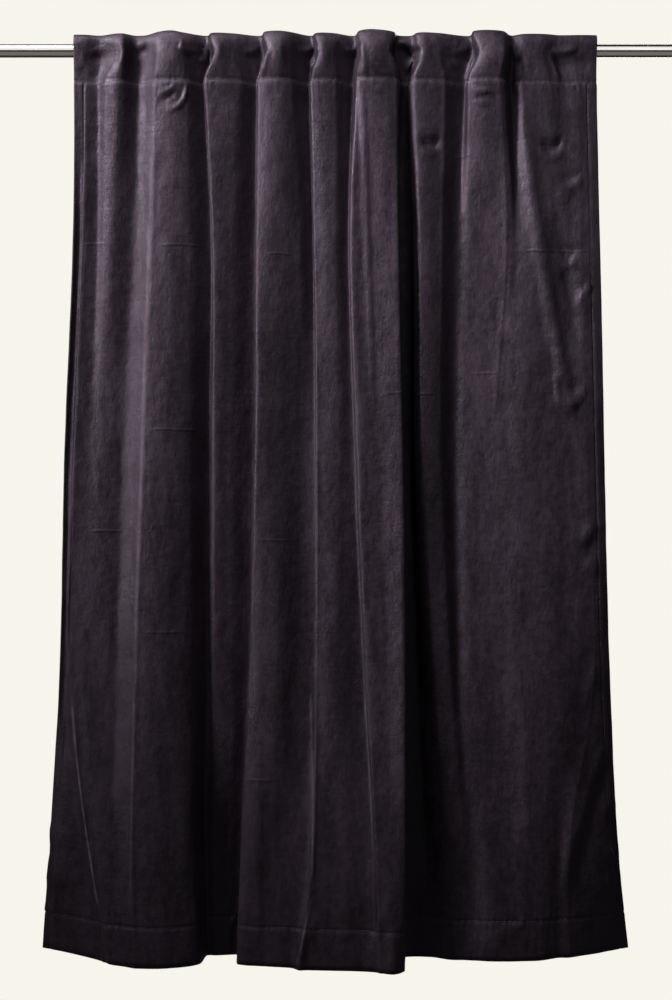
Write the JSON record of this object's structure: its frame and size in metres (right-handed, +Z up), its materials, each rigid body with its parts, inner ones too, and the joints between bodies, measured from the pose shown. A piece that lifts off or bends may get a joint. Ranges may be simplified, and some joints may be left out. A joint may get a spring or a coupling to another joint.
{
  "type": "curtain on a rod",
  "caption": "Velvet curtain panel with a sewn casing gathered on a plain round steel rod, hanging in uneven folds to a deep bottom hem.",
  "frame": {"origin": "middle of the rod's axis", "axes": "+X along the rod towards the viewer's right, +Y away from the viewer and square to the cloth, +Z up"},
  "size_m": [1.36, 0.1632, 1.8162],
  "materials": {
    "velvet": "dark plum velvet, short pile",
    "rod_steel": "polished steel"
  },
  "bodies": {
    "root": {"curtain_cloth": "velvet", "curtain_rod": "rod_steel"}
  },
  "joints": []
}
